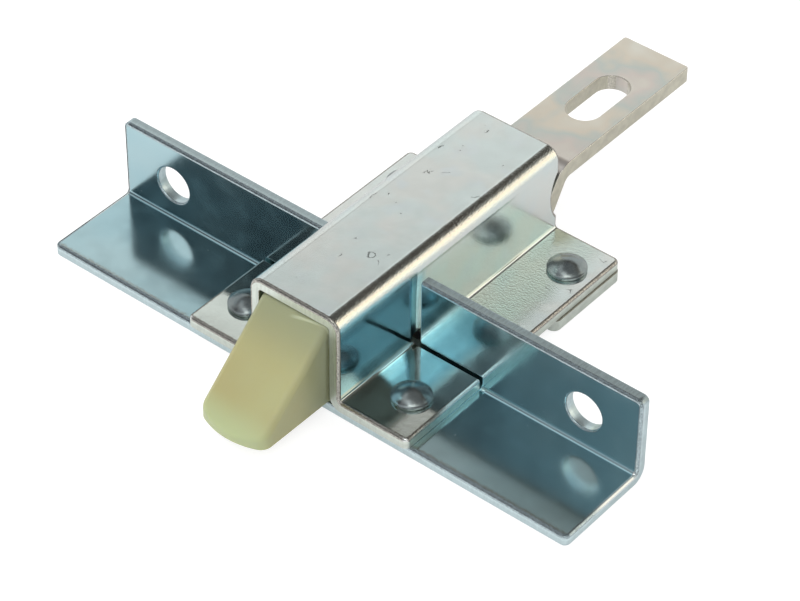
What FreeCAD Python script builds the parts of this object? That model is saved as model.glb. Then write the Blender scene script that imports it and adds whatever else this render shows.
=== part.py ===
import FreeCAD, Part
import math
import os
import Sketcher

# Spring latch for a baggage door.
# A bent steel angle carries a hat-shaped housing, and a nylon bolt with a sloping nose slides in it.
# A steel bar behind the bolt leaves the housing at the rear and is pulled to draw the bolt back.
# X runs along the angle, +Y points from the nose to the pull bar, +Z is up.
# The origin is on the underside, in the middle of the angle's front edge.

V = FreeCAD.Vector
doc = FreeCAD.newDocument("BaggageDoorLatch")
sheet = doc.addObject("Spreadsheet::Sheet", "Sizes")

SIZES = (
    # mounting angle
    ("angle_length", 158.8, "end to end"),
    ("angle_depth", 29.6, "front edge to the back of the upright leg"),
    ("angle_height", 25.4, "underside to the top of the upright leg"),
    ("angle_thickness", 3.0, "sheet"),
    ("angle_bend", 1.0, "inside radius of the bend"),
    ("angle_corner", 1.6, "rounded free corners of both legs"),
    ("edge_ease", 0.35, "eased free edges on the inner face"),
    ("hole_spacing", 127.0, "between the two mounting holes"),
    ("hole_height", 13.2, "hole centre above the underside"),
    ("hole_diameter", 10.3, "mounting hole"),
    ("window_gap", 1.6, "each side of the housing in the upright leg's window"),
    ("window_corner", 1.2, "lower corners of the window"),
    # housing
    ("housing_width", 27.2, "outside the side walls"),
    ("housing_height", 27.4, "seat of the feet to the top"),
    ("housing_thickness", 3.0, "sheet"),
    ("housing_overhang", 1.2, "mouth ahead of the angle's front edge"),
    ("housing_length", 83.5, "mouth to rear"),
    ("top_bend", 0.8, "inside radius of the two upper bends"),
    ("foot_bend", 0.8, "inside radius of the bends into the feet"),
    ("tab_width", 68.0, "over both front tabs"),
    ("tab_gap", 1.2, "front tabs to the upright leg"),
    ("flange_inset", 0.7, "rear flanges narrower than the tabs, each side"),
    ("flange_gap", 1.6, "upright leg to the rear flanges"),
    ("notch_height", 5.5, "wall notch over the upright leg, above the seat"),
    ("notch_corner", 1.5, "upper corners of that notch"),
    ("foot_corner", 1.6, "rounded corners of the feet"),
    ("scallop_radius", 11.4, "hollow in the rear edge of each wall"),
    ("scallop_depth", 2.4, "how far it goes in"),
    ("scallop_height", 13.4, "its middle above the seat"),
    # base plate
    ("plate_margin", 0.4, "beyond the rear flanges, each side"),
    ("plate_depth", 26.5, "front to rear"),
    ("plate_thickness", 3.0, "sheet"),
    ("plate_corner", 2.0, "rounded corners"),
    ("lug_margin", 0.3, "spring lug beyond its boss, each side"),
    ("lug_lip", 0.4, "spring lug above the spring"),
    ("lug_corner", 2.0, "upper corners of the lug"),
    ("lug_bend", 0.8, "inside radius of the lug's bend"),
    ("relief_width", 1.6, "relief cut on each side of the lug"),
    ("relief_depth", 4.6, "relief cut from the plate's front edge"),
    ("boss_gap", 0.8, "lug boss inside the spring, all round"),
    ("boss_height", 1.8, "lug boss"),
    # rivets
    ("rivet_inset", 8.6, "from the outer ends of the tabs"),
    ("front_rivet_setback", 12.4, "from the mouth"),
    ("rear_rivet_setback", 11.3, "from the housing's rear edge"),
    ("rivet_shank", 4.8, "diameter"),
    ("rivet_head", 10.1, "diameter"),
    ("rivet_rim", 1.3, "straight side of the head"),
    ("rivet_crown", 1.7, "dome above that side"),
    ("rivet_fit", 0.02, "gap round the shank"),
    # latch bolt
    ("bolt_side_gap", 0.2, "bolt to each side wall"),
    ("bolt_top_gap", 0.2, "bolt to the top"),
    ("slide_gap", 0.1, "bolt and bar above the window's sill"),
    ("bolt_throw", 24.4, "nose ahead of the mouth"),
    ("nose_draft", 0.4, "each side narrows by this from the rear to the nose"),
    ("nose_radius", 20.0, "curve of the nose seen from above"),
    ("nose_corner", 3.2, "corners of the nose seen from above"),
    ("ramp_angle", 40.7, "slope of the ramp in degrees"),
    ("ramp_inset", 0.4, "top of the ramp behind the mouth"),
    ("ramp_round", 3.0, "rounded top of the ramp"),
    ("bolt_edge", 2.0, "rounded upper edges, round the nose as well"),
    ("bolt_spare", 2.0, "bolt to the lug boss when drawn back"),
    ("bore_gap", 0.4, "spring bore round the spring"),
    ("bore_floor", 1.2, "nylon between spring bore and bar"),
    ("bore_setback", 10.2, "bottom of the spring bore behind the mouth"),
    # pull bar
    ("bar_side_gap", 0.45, "bar to each side wall"),
    ("bar_thickness", 4.4, "strap"),
    ("bar_front_inset", 1.4, "front end behind the mouth"),
    ("bar_front_gap", 0.2, "front end to the bolt's shoulder"),
    ("bar_rise", 10.4, "height of the double bend"),
    ("joggle_angle", 59.4, "slope between the two bends in degrees"),
    ("joggle_setout", 2.0, "lower bend behind the housing"),
    ("joggle_bend", 2.4, "inside radius of both bends"),
    ("bar_reach", 59.5, "far end behind the housing"),
    ("bar_corner", 0.8, "corners of the far end"),
    ("slot_width", 9.7, "slot for the release rod"),
    ("slot_length", 21.2, "slot for the release rod"),
    ("slot_setback", 14.7, "slot to the far end"),
    ("stroke", 24.0, "travel of bolt and bar"),
    ("stroke_spare", 0.6, "room left in front of the lug at full travel"),
    ("stop_gap", 0.05, "bar window to the back of the lug at rest"),
    ("lug_side_gap", 0.5, "bar window to each side of the lug"),
    # pegs that hold bolt and bar together
    ("peg_spacing", 11.0, "left to right"),
    ("peg_setback", 5.0, "from the bar's front end"),
    ("peg_diameter", 5.0, "moulded on the bolt, staked flush under the bar"),
    ("peg_fit", 0.02, "gap round the peg"),
    # return spring
    ("spring_outside", 14.0, "diameter"),
    ("spring_wire", 1.2, "diameter"),
    ("spring_turns", 7.0, "open turns"),
    ("closed_pitch", 1.3, "pitch of the closed turn at each end"),
)


class Dim:
    """A size with its number and the sheet expression that gives it."""

    def __init__(self, value, text):
        self.value = float(value)
        self.text = text

    def _join(self, other, sign, value):
        return Dim(value, "(%s %s %s)" % (self.text, sign, dim(other).text))

    def __add__(self, other):
        return self._join(other, "+", self.value + dim(other).value)

    def __sub__(self, other):
        return self._join(other, "-", self.value - dim(other).value)

    def __mul__(self, other):
        return self._join(other, "*", self.value * dim(other).value)

    def __truediv__(self, other):
        return self._join(other, "/", self.value / dim(other).value)

    def __neg__(self):
        return Dim(-self.value, "(-1 * %s)" % self.text)


def dim(value):
    return value if isinstance(value, Dim) else Dim(value, repr(value))


def tangent(degrees):
    return Dim(math.tan(math.radians(degrees.value)), "tan(%s * 1 deg)" % degrees.text)


S = {}
for row, (alias, value, note) in enumerate(SIZES, start=1):
    sheet.set("A%d" % row, alias)
    sheet.set("B%d" % row, str(value))
    sheet.set("C%d" % row, note)
    sheet.setAlias("B%d" % row, alias)
    S[alias] = Dim(value, "Sizes.%s" % alias)
doc.recompute()


# Sketch and feature helpers

def new_body(label):
    body = doc.addObject("PartDesign::Body", "Body_" + label)
    body.Label = label
    return body


def new_sketch(body, role, name, offset=None):
    """Sketch on one of the body's own origin planes, moved along its normal by offset."""
    sketch = body.newObject("Sketcher::SketchObject", name)
    plane = [f for f in body.Origin.OriginFeatures if f.Role == role][0]
    sketch.AttachmentSupport = [(plane, "")]
    sketch.MapMode = "FlatFace"
    if offset is not None:
        sketch.setExpression("AttachmentOffset.Base.z", offset.text)
    return sketch


def drive(sketch, constraint, size):
    index = sketch.addConstraint(constraint)
    sketch.setExpression("Constraints[%d]" % index, size.text)


def pin_point(sketch, geo, pos, x, y):
    """Place a point from the sketch origin. A plain 0 puts it on the axis."""
    for kind, axis, size in (("DistanceX", -2, x), ("DistanceY", -1, y)):
        if isinstance(size, Dim):
            drive(sketch, Sketcher.Constraint(kind, -1, 1, geo, pos, size.value), size)
        else:
            sketch.addConstraint(Sketcher.Constraint("PointOnObject", geo, pos, axis))


def polygon(sketch, corners):
    """Closed outline through the corners, each given by two sizes."""
    points = [V(dim(x).value, dim(y).value, 0) for x, y in corners]
    first = sketch.GeometryCount
    count = len(points)
    for i in range(count):
        sketch.addGeometry(Part.LineSegment(points[i], points[(i + 1) % count]), False)
    for i in range(count):
        sketch.addConstraint(
            Sketcher.Constraint("Coincident", first + i, 2, first + (i + 1) % count, 1))
    for i, (x, y) in enumerate(corners):
        pin_point(sketch, first + i, 1, x, y)


def rectangle(sketch, x0, x1, y0, y1):
    polygon(sketch, ((x0, y0), (x1, y0), (x1, y1), (x0, y1)))


def circle(sketch, x, y, diameter):
    geo = sketch.addGeometry(
        Part.Circle(V(dim(x).value, dim(y).value, 0), V(0, 0, 1), diameter.value / 2), False)
    pin_point(sketch, geo, 3, x, y)
    drive(sketch, Sketcher.Constraint("Diameter", geo, diameter.value), diameter)


def obround(sketch, y_near, y_far, width):
    """Slot along the sketch's Y axis, centred on it, with round ends."""
    r = width.value / 2
    near = y_near.value + r
    far = y_far.value - r
    a = sketch.addGeometry(Part.ArcOfCircle(Part.Circle(V(0, near, 0), V(0, 0, 1), r), math.pi, 2 * math.pi), False)
    b = sketch.addGeometry(Part.LineSegment(V(r, near, 0), V(r, far, 0)), False)
    c = sketch.addGeometry(Part.ArcOfCircle(Part.Circle(V(0, far, 0), V(0, 0, 1), r), 0, math.pi), False)
    d = sketch.addGeometry(Part.LineSegment(V(-r, far, 0), V(-r, near, 0)), False)
    for first, second in ((a, b), (b, c), (c, d), (d, a)):
        sketch.addConstraint(Sketcher.Constraint("Tangent", first, 2, second, 1))
    pin_point(sketch, a, 3, 0, y_near + width / 2)
    pin_point(sketch, c, 3, 0, y_far - width / 2)
    drive(sketch, Sketcher.Constraint("Radius", a, r), width / 2)


def pad(body, sketch, name, length, both_ways=False, reverse=False):
    feature = body.newObject("PartDesign::Pad", name)
    feature.Profile = sketch
    feature.setExpression("Length", length.text)
    feature.Midplane = both_ways
    feature.Reversed = reverse
    doc.recompute()
    return feature


def pocket(body, sketch, name, depth=None, both_ways=False, reverse=False):
    """Cut the sketch out, to a depth or through all, and make sure that it cuts."""
    before = body.Shape.Volume
    feature = body.newObject("PartDesign::Pocket", name)
    feature.Profile = sketch
    if depth is None:
        feature.Type = "ThroughAll"
    else:
        feature.setExpression("Length", depth.text)
    feature.Midplane = both_ways
    feature.Reversed = reverse
    doc.recompute()
    if body.Shape.Volume > before - 1e-3:
        raise RuntimeError("%s cuts nothing" % name)
    return feature


def picked(body, test):
    """Names of the body's edges for which test(edge) holds."""
    names = ["Edge%d" % (i + 1) for i, e in enumerate(body.Shape.Edges) if test(e)]
    if not names:
        raise RuntimeError("no edge found on %s" % body.Label)
    return names


def dress(body, kind, name, size, edges):
    feature = body.newObject("PartDesign::" + kind, name)
    feature.Base = (feature.BaseFeature, edges)
    feature.setExpression("Radius" if kind == "Fillet" else "Size", size.text)
    doc.recompute()
    return feature


def near(a, b):
    return abs(a - b) < 1e-4


def flat_at(edge, **where):
    """True if the whole edge lies at the given x, y or z."""
    box = edge.BoundBox
    spans = {"x": (box.XMin, box.XMax), "y": (box.YMin, box.YMax), "z": (box.ZMin, box.ZMax)}
    return all(near(spans[k][0], v) and near(spans[k][1], v) for k, v in where.items())


def along(edge, axis):
    """True for a straight edge parallel to the axis."""
    if not isinstance(edge.Curve, Part.Line):
        return False
    direction = edge.Curve.Direction
    return near(abs(getattr(direction, axis)), 1.0)


# Levels and stations that several pieces share

seat = S["angle_thickness"]
upright_front = S["angle_depth"] - S["angle_thickness"]
sill = S["angle_thickness"] + S["angle_bend"]
mouth = -S["housing_overhang"]
housing_rear = mouth + S["housing_length"]
wall_outside = S["housing_width"] / 2
wall_inside = wall_outside - S["housing_thickness"]
housing_top = seat + S["housing_height"]
ceiling = housing_top - S["housing_thickness"]
tab_rear = upright_front - S["tab_gap"]
flange_front = S["angle_depth"] + S["flange_gap"]
foot_top = seat + S["housing_thickness"]
tab_half = S["tab_width"] / 2
flange_half = tab_half - S["flange_inset"]
plate_half = flange_half + S["plate_margin"]
rivet_x = tab_half - S["rivet_inset"]
front_rivet_y = mouth + S["front_rivet_setback"]
rear_rivet_y = housing_rear - S["rear_rivet_setback"]
rivet_hole = S["rivet_shank"] + S["rivet_fit"] * 2
plate_front = housing_rear - S["plate_depth"]
plate_under = seat - S["plate_thickness"]
lug_back = plate_front + S["plate_thickness"]
slide_level = sill + S["slide_gap"]
bolt_top = ceiling - S["bolt_top_gap"]
bolt_half = wall_inside - S["bolt_side_gap"]
bar_top = slide_level + S["bar_thickness"]
bar_front = mouth + S["bar_front_inset"]
bar_half = wall_inside - S["bar_side_gap"]
bar_end = housing_rear + S["bar_reach"]
peg_x = S["peg_spacing"] / 2
peg_y = bar_front + S["peg_setback"]
spring_bore = S["spring_outside"] + S["bore_gap"] * 2
spring_axis = bar_top + S["bore_floor"] + spring_bore / 2
bore_bottom = mouth + S["bore_setback"]
boss_diameter = S["spring_outside"] - S["spring_wire"] * 2 - S["boss_gap"] * 2
lug_half = boss_diameter / 2 + S["lug_margin"]
lug_top = spring_axis + S["spring_outside"] / 2 + S["lug_lip"]
bolt_rear = plate_front - S["boss_height"] - S["stroke"] - S["bolt_spare"]
nose_tip = mouth - S["bolt_throw"]
beyond = dim(20.0)


# Mounting angle: an L of sheet with a window for the housing, two mounting holes and two rivet holes

angle = new_body("mounting_angle")
profile = new_sketch(angle, "YZ_Plane", "AngleProfile")
polygon(profile, (
    (0, 0),
    (S["angle_depth"], 0),
    (S["angle_depth"], S["angle_height"]),
    (upright_front, S["angle_height"]),
    (upright_front, seat),
    (0, seat)))
pad(angle, profile, "AngleSheet", S["angle_length"], both_ways=True)

dress(angle, "Fillet", "OuterBend", S["angle_thickness"] + S["angle_bend"], picked(
    angle, lambda e: along(e, "x") and flat_at(e, y=S["angle_depth"].value, z=0)))
dress(angle, "Fillet", "InnerBend", S["angle_bend"], picked(
    angle, lambda e: along(e, "x") and flat_at(e, y=upright_front.value, z=seat.value)))

window_half = wall_outside + S["window_gap"]
window = new_sketch(angle, "XZ_Plane", "WindowOutline")
rectangle(window, -window_half, window_half, sill, S["angle_height"] + beyond)
pocket(angle, window, "Window")
dress(angle, "Fillet", "WindowCorners", S["window_corner"], picked(
    angle, lambda e: along(e, "y") and near(abs(e.BoundBox.XMax + e.BoundBox.XMin) / 2, window_half.value)
    and flat_at(e, z=sill.value)))

holes = new_sketch(angle, "XZ_Plane", "MountingHoleCentres")
for side in (-1, 1):
    circle(holes, S["hole_spacing"] / 2 * side, S["hole_height"], S["hole_diameter"])
pocket(angle, holes, "MountingHoles")

rivet_holes = new_sketch(angle, "XY_Plane", "RivetHoleCentres")
for side in (-1, 1):
    circle(rivet_holes, rivet_x * side, front_rivet_y, rivet_hole)
pocket(angle, rivet_holes, "RivetHoles", depth=seat + beyond, both_ways=True)

half_length = S["angle_length"].value / 2
dress(angle, "Fillet", "LegCorners", S["angle_corner"], picked(
    angle, lambda e: near(abs(e.BoundBox.XMax + e.BoundBox.XMin) / 2, half_length)
    and ((along(e, "z") and flat_at(e, y=0)) or (along(e, "y") and flat_at(e, z=S["angle_height"].value)))))


def on_sheet_face(edge):
    """Free edges of the inner face of the L, without its bend."""
    box = edge.BoundBox
    upright = flat_at(edge, y=upright_front.value) and box.ZMax > sill.value + 1e-3
    level = flat_at(edge, z=seat.value) and box.YMin < upright_front.value - S["angle_bend"].value - 1e-3
    straight_rim = near(max(abs(box.XMin), abs(box.XMax)), half_length) or flat_at(edge, z=S["angle_height"].value)
    front_rim = flat_at(edge, y=0, z=seat.value)
    corner = isinstance(edge.Curve, Part.Circle) and near(edge.Curve.Radius, S["angle_corner"].value)
    return (upright and (straight_rim or corner)) or (level and (straight_rim or front_rim or corner))


dress(angle, "Chamfer", "EasedEdges", S["edge_ease"], picked(angle, on_sheet_face))


# Housing: a channel of sheet, open below and at both ends, with two front tabs and two rear flanges

housing = new_body("housing")
channel = new_sketch(housing, "XZ_Plane", "ChannelSection", offset=-mouth)
polygon(channel, (
    (-wall_outside, seat),
    (-wall_inside, seat),
    (-wall_inside, ceiling),
    (wall_inside, ceiling),
    (wall_inside, seat),
    (wall_outside, seat),
    (wall_outside, housing_top),
    (-wall_outside, housing_top)))
pad(housing, channel, "Channel", S["housing_length"], reverse=True)

feet = new_sketch(housing, "XY_Plane", "FeetOutline", offset=seat)
for side in (-1, 1):
    rectangle(feet, wall_inside * side, tab_half * side, mouth, tab_rear)
    rectangle(feet, wall_inside * side, flange_half * side, flange_front, housing_rear)
pad(housing, feet, "Feet", S["housing_thickness"])

notch = new_sketch(housing, "YZ_Plane", "NotchOutline")
rectangle(notch, tab_rear, flange_front, seat - beyond, seat + S["notch_height"])
pocket(housing, notch, "WallNotch", depth=S["housing_width"] + beyond, both_ways=True)

scallop = new_sketch(housing, "YZ_Plane", "ScallopOutline")
circle(scallop, housing_rear - S["scallop_depth"] + S["scallop_radius"], seat + S["scallop_height"],
       S["scallop_radius"] * 2)
pocket(housing, scallop, "RearScallop", depth=S["housing_width"] + beyond, both_ways=True)

foot_holes = new_sketch(housing, "XY_Plane", "FootHoleCentres")
for side in (-1, 1):
    circle(foot_holes, rivet_x * side, front_rivet_y, rivet_hole)
    circle(foot_holes, rivet_x * side, rear_rivet_y, rivet_hole)
pocket(housing, foot_holes, "FootHoles", depth=(foot_top + beyond) * 2, both_ways=True)

dress(housing, "Fillet", "NotchCorners", S["notch_corner"], picked(
    housing, lambda e: along(e, "x") and flat_at(e, z=(seat + S["notch_height"]).value)))
dress(housing, "Fillet", "FootCorners", S["foot_corner"], picked(
    housing, lambda e: along(e, "z") and not flat_at(e, y=tab_rear.value)
    and (near(abs(e.BoundBox.Center.x), tab_half.value) or near(abs(e.BoundBox.Center.x), flange_half.value))))
dress(housing, "Fillet", "UpperBendsOutside", S["top_bend"] + S["housing_thickness"], picked(
    housing, lambda e: along(e, "y") and flat_at(e, z=housing_top.value)
    and near(abs(e.BoundBox.XMax), wall_outside.value)))
dress(housing, "Fillet", "UpperBendsInside", S["top_bend"], picked(
    housing, lambda e: along(e, "y") and flat_at(e, z=ceiling.value)))
dress(housing, "Fillet", "FootBendsInside", S["foot_bend"], picked(
    housing, lambda e: along(e, "y") and flat_at(e, z=foot_top.value)
    and near(abs(e.BoundBox.XMax), wall_outside.value)))
dress(housing, "Fillet", "FootBendsOutside", S["foot_bend"] + S["housing_thickness"] * 0.9, picked(
    housing, lambda e: along(e, "y") and flat_at(e, z=seat.value)
    and near(abs(e.BoundBox.XMax), wall_inside.value)))


# Base plate: closes the rear of the housing from below, and its turned-up lug takes the spring

plate = new_body("base_plate")
outline = new_sketch(plate, "XY_Plane", "PlateOutline", offset=plate_under)
lug_cut = lug_half + S["relief_width"]
relief_end = plate_front + S["relief_depth"]
polygon(outline, (
    (-plate_half, plate_front),
    (-lug_cut, plate_front),
    (-lug_cut, relief_end),
    (-lug_half, relief_end),
    (-lug_half, plate_front),
    (lug_half, plate_front),
    (lug_half, relief_end),
    (lug_cut, relief_end),
    (lug_cut, plate_front),
    (plate_half, plate_front),
    (plate_half, housing_rear),
    (-plate_half, housing_rear)))
pad(plate, outline, "PlateSheet", S["plate_thickness"])

lug = new_sketch(plate, "XY_Plane", "LugFoot", offset=plate_under)
rectangle(lug, -lug_half, lug_half, plate_front, lug_back)
pad(plate, lug, "Lug", lug_top - plate_under)

boss = new_sketch(plate, "XZ_Plane", "BossOutline", offset=-plate_front)
circle(boss, 0, spring_axis, boss_diameter)
pad(plate, boss, "Boss", S["boss_height"])

dent = new_sketch(plate, "XZ_Plane", "BossDentOutline", offset=-lug_back)
circle(dent, 0, spring_axis, boss_diameter)
pocket(plate, dent, "BossDent", depth=S["boss_height"], reverse=True)

plate_holes = new_sketch(plate, "XY_Plane", "PlateHoleCentres")
for side in (-1, 1):
    circle(plate_holes, rivet_x * side, rear_rivet_y, rivet_hole)
pocket(plate, plate_holes, "PlateHoles", depth=(seat + beyond) * 2, both_ways=True)
dress(plate, "Fillet", "PlateCorners", S["plate_corner"], picked(
    plate, lambda e: along(e, "z") and near(max(abs(e.BoundBox.XMin), abs(e.BoundBox.XMax)), plate_half.value)))
dress(plate, "Fillet", "LugTopCorners", S["lug_corner"], picked(
    plate, lambda e: along(e, "y") and flat_at(e, z=lug_top.value)))
dress(plate, "Fillet", "LugBendInside", S["lug_bend"], picked(
    plate, lambda e: along(e, "x") and flat_at(e, y=lug_back.value, z=seat.value)))
dress(plate, "Fillet", "LugBendOutside", S["lug_bend"] + S["plate_thickness"], picked(
    plate, lambda e: along(e, "x") and flat_at(e, y=plate_front.value, z=plate_under.value)
    and max(abs(e.BoundBox.XMin), abs(e.BoundBox.XMax)) < lug_half.value + 1e-3))


# Latch bolt: a nylon block with a ramp, a rounded nose, a recess and two pegs for the bar, and a spring bore

bolt = new_body("latch_bolt")
plan = new_sketch(bolt, "XY_Plane", "BoltPlan", offset=slide_level)
nose_half = bolt_half - S["nose_draft"]
arc_centre = nose_tip.value + S["nose_radius"].value
spread = math.asin(nose_half.value / S["nose_radius"].value)
nose_side_y = arc_centre - S["nose_radius"].value * math.cos(spread)
right_rear = V(bolt_half.value, bolt_rear.value, 0)
right_nose = V(nose_half.value, nose_side_y, 0)
left_nose = V(-nose_half.value, nose_side_y, 0)
left_rear = V(-bolt_half.value, bolt_rear.value, 0)
plan.addGeometry(Part.LineSegment(left_rear, left_nose), False)
plan.addGeometry(Part.ArcOfCircle(
    Part.Circle(V(0, arc_centre, 0), V(0, 0, 1), S["nose_radius"].value),
    1.5 * math.pi - spread, 1.5 * math.pi + spread), False)
plan.addGeometry(Part.LineSegment(right_nose, right_rear), False)
plan.addGeometry(Part.LineSegment(right_rear, left_rear), False)
for first, second in ((0, 1), (1, 2), (2, 3), (3, 0)):
    plan.addConstraint(Sketcher.Constraint("Coincident", first, 2, second, 1))
pin_point(plan, 0, 1, -bolt_half, bolt_rear)
pin_point(plan, 3, 1, bolt_half, bolt_rear)
pin_point(plan, 1, 3, 0, nose_tip + S["nose_radius"])
drive(plan, Sketcher.Constraint("Radius", 1, S["nose_radius"].value), S["nose_radius"])
drive(plan, Sketcher.Constraint("DistanceX", -1, 1, 0, 2, -nose_half.value), -nose_half)
drive(plan, Sketcher.Constraint("DistanceX", -1, 1, 2, 1, nose_half.value), nose_half)
pad(bolt, plan, "BoltBlock", bolt_top - slide_level)
dress(bolt, "Fillet", "NoseCorners", S["nose_corner"], picked(
    bolt, lambda e: along(e, "z") and near(abs(e.BoundBox.XMax), nose_half.value)))

ramp = new_sketch(bolt, "YZ_Plane", "RampCut")
ramp_top_y = mouth + S["ramp_inset"]
ramp_reach = ramp_top_y - nose_tip + beyond
polygon(ramp, (
    (ramp_top_y, bolt_top),
    (ramp_top_y, bolt_top + beyond),
    (ramp_top_y - ramp_reach, bolt_top + beyond),
    (ramp_top_y - ramp_reach, bolt_top - ramp_reach * tangent(S["ramp_angle"]))))
pocket(bolt, ramp, "Ramp", depth=S["housing_width"] + beyond, both_ways=True)
dress(bolt, "Fillet", "RampTop", S["ramp_round"], picked(
    bolt, lambda e: along(e, "x") and flat_at(e, y=ramp_top_y.value, z=bolt_top.value)))


def upper_rim(edge):
    """Side edges of the top and of the ramp, and the edge round the nose."""
    box = edge.BoundBox
    inner = near(box.XMin, -box.XMax) and not near(box.YMin, nose_tip.value)
    return box.ZMin > slide_level.value + 1e-3 and not inner and not along(edge, "z") \
        and not flat_at(edge, y=bolt_rear.value)


dress(bolt, "Fillet", "UpperRim", S["bolt_edge"], picked(bolt, upper_rim))

recess = new_sketch(bolt, "XY_Plane", "BarRecess", offset=slide_level)
rectangle(recess, -wall_outside, wall_outside, bar_front - S["bar_front_gap"], bolt_rear + beyond)
pocket(bolt, recess, "BarSeat", depth=S["bar_thickness"], reverse=True)

bore = new_sketch(bolt, "XZ_Plane", "SpringBoreOutline", offset=-bolt_rear)
circle(bore, 0, spring_axis, spring_bore)
pocket(bolt, bore, "SpringBore", depth=bolt_rear - bore_bottom, reverse=True)

pegs = new_sketch(bolt, "XY_Plane", "PegCentres", offset=slide_level)
for side in (-1, 1):
    circle(pegs, peg_x * side, peg_y, S["peg_diameter"])
pad(bolt, pegs, "Pegs", S["bar_thickness"])


# Pull bar: a strap with a double bend, a window for the lug and a slot for the release rod

bar = new_body("pull_bar")
side_view = new_sketch(bar, "YZ_Plane", "BarProfile")
lower_y = housing_rear + S["joggle_setout"]
upper_y = lower_y + S["bar_rise"] / tangent(S["joggle_angle"])
mitre = S["bar_thickness"] * tangent(S["joggle_angle"] / 2)
upper_under = slide_level + S["bar_rise"]
polygon(side_view, (
    (bar_front, slide_level),
    (lower_y, slide_level),
    (upper_y, upper_under),
    (bar_end, upper_under),
    (bar_end, upper_under + S["bar_thickness"]),
    (upper_y - mitre, upper_under + S["bar_thickness"]),
    (lower_y - mitre, bar_top),
    (bar_front, bar_top)))
pad(bar, side_view, "Strap", bar_half * 2, both_ways=True)
dress(bar, "Fillet", "BendsInside", S["joggle_bend"], picked(
    bar, lambda e: along(e, "x") and (flat_at(e, y=upper_y.value, z=upper_under.value)
                                      or flat_at(e, y=(lower_y - mitre).value, z=bar_top.value))))
dress(bar, "Fillet", "BendsOutside", S["joggle_bend"] + S["bar_thickness"], picked(
    bar, lambda e: along(e, "x") and (flat_at(e, y=lower_y.value, z=slide_level.value)
                                      or flat_at(e, y=(upper_y - mitre).value,
                                                 z=(upper_under + S["bar_thickness"]).value))))

rod_slot = new_sketch(bar, "XY_Plane", "RodSlotOutline", offset=upper_under - S["bar_thickness"])
obround(rod_slot, bar_end - S["slot_setback"] - S["slot_length"], bar_end - S["slot_setback"], S["slot_width"])
pocket(bar, rod_slot, "RodSlot", depth=S["bar_thickness"] * 3, reverse=True)

lug_window = new_sketch(bar, "XY_Plane", "LugWindowOutline")
rectangle(lug_window, -(lug_half + S["lug_side_gap"]), lug_half + S["lug_side_gap"],
          plate_front - S["stroke"] - S["stroke_spare"], lug_back + S["stop_gap"])
pocket(bar, lug_window, "LugWindow", depth=bar_top + S["bar_thickness"], reverse=True)

peg_holes = new_sketch(bar, "XY_Plane", "PegHoleCentres")
for side in (-1, 1):
    circle(peg_holes, peg_x * side, peg_y, S["peg_diameter"] + S["peg_fit"] * 2)
pocket(bar, peg_holes, "PegHoles", depth=bar_top + S["bar_thickness"], reverse=True)
dress(bar, "Fillet", "BarCorners", S["bar_corner"], picked(
    bar, lambda e: along(e, "z") and near(e.BoundBox.YMax, bar_end.value)))


# Rivets: domed head on the foot, shank through both sheets and set flush below

head_radius = S["rivet_head"] / 2
dome_radius = (head_radius * head_radius + S["rivet_crown"] * S["rivet_crown"]) / (S["rivet_crown"] * 2)
shoulder = foot_top + S["rivet_rim"]


def primitive(kind, name, level, **sizes):
    """Part primitive standing on the Z axis at a level, its sizes bound to the sheet."""
    thing = doc.addObject("Part::" + kind, name)
    for prop, size in sizes.items():
        thing.setExpression(prop, size.text)
    thing.setExpression("Placement.Base.z", level.text)
    return thing


def rivet(label, x, y, under):
    shank = primitive("Cylinder", "RivetShank", under, Radius=S["rivet_shank"] / 2, Height=foot_top - under)
    blank = primitive("Cylinder", "HeadBlank", foot_top, Radius=head_radius, Height=S["rivet_rim"] + S["rivet_crown"])
    ball = primitive("Sphere", "HeadBall", shoulder + S["rivet_crown"] - dome_radius, Radius=dome_radius)
    ball.Placement.Rotation = FreeCAD.Rotation(V(1, 0, 0), 90)
    stud = doc.addObject("Part::Fuse", "FlatHeaded")
    stud.Base = blank
    stud.Tool = shank
    whole = doc.addObject("Part::Common", "DomeHeaded")
    whole.Base = stud
    whole.Tool = ball
    whole.Label = label
    whole.setExpression("Placement.Base.x", x.text)
    whole.setExpression("Placement.Base.y", y.text)
    doc.recompute()
    return whole


rivets = [
    rivet("front_left_rivet", -rivet_x, front_rivet_y, dim(0.0)),
    rivet("front_right_rivet", rivet_x, front_rivet_y, dim(0.0)),
    rivet("rear_left_rivet", -rivet_x, rear_rivet_y, plate_under),
    rivet("rear_right_rivet", rivet_x, rear_rivet_y, plate_under),
]


# Return spring: open turns between a closed turn at each end, ground flat, from the bore to the lug

CHORDS = 14
WIRE_SIDES = 6
free_span = (plate_front - bore_bottom).value
mean_radius = ((S["spring_outside"] - S["spring_wire"]) / 2).value
closed_pitch = S["closed_pitch"].value
open_turns = S["spring_turns"].value
open_pitch = (free_span - 2 * closed_pitch) / open_turns


def wire_point(turn):
    """Middle of the wire, so many turns from the front end."""
    opened = min(max(turn - 1, 0), open_turns)
    y = bore_bottom.value + closed_pitch * (turn - opened) + open_pitch * opened
    angle_there = 2 * math.pi * turn
    return V(mean_radius * math.cos(angle_there), y, spring_axis.value + mean_radius * math.sin(angle_there))


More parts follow.
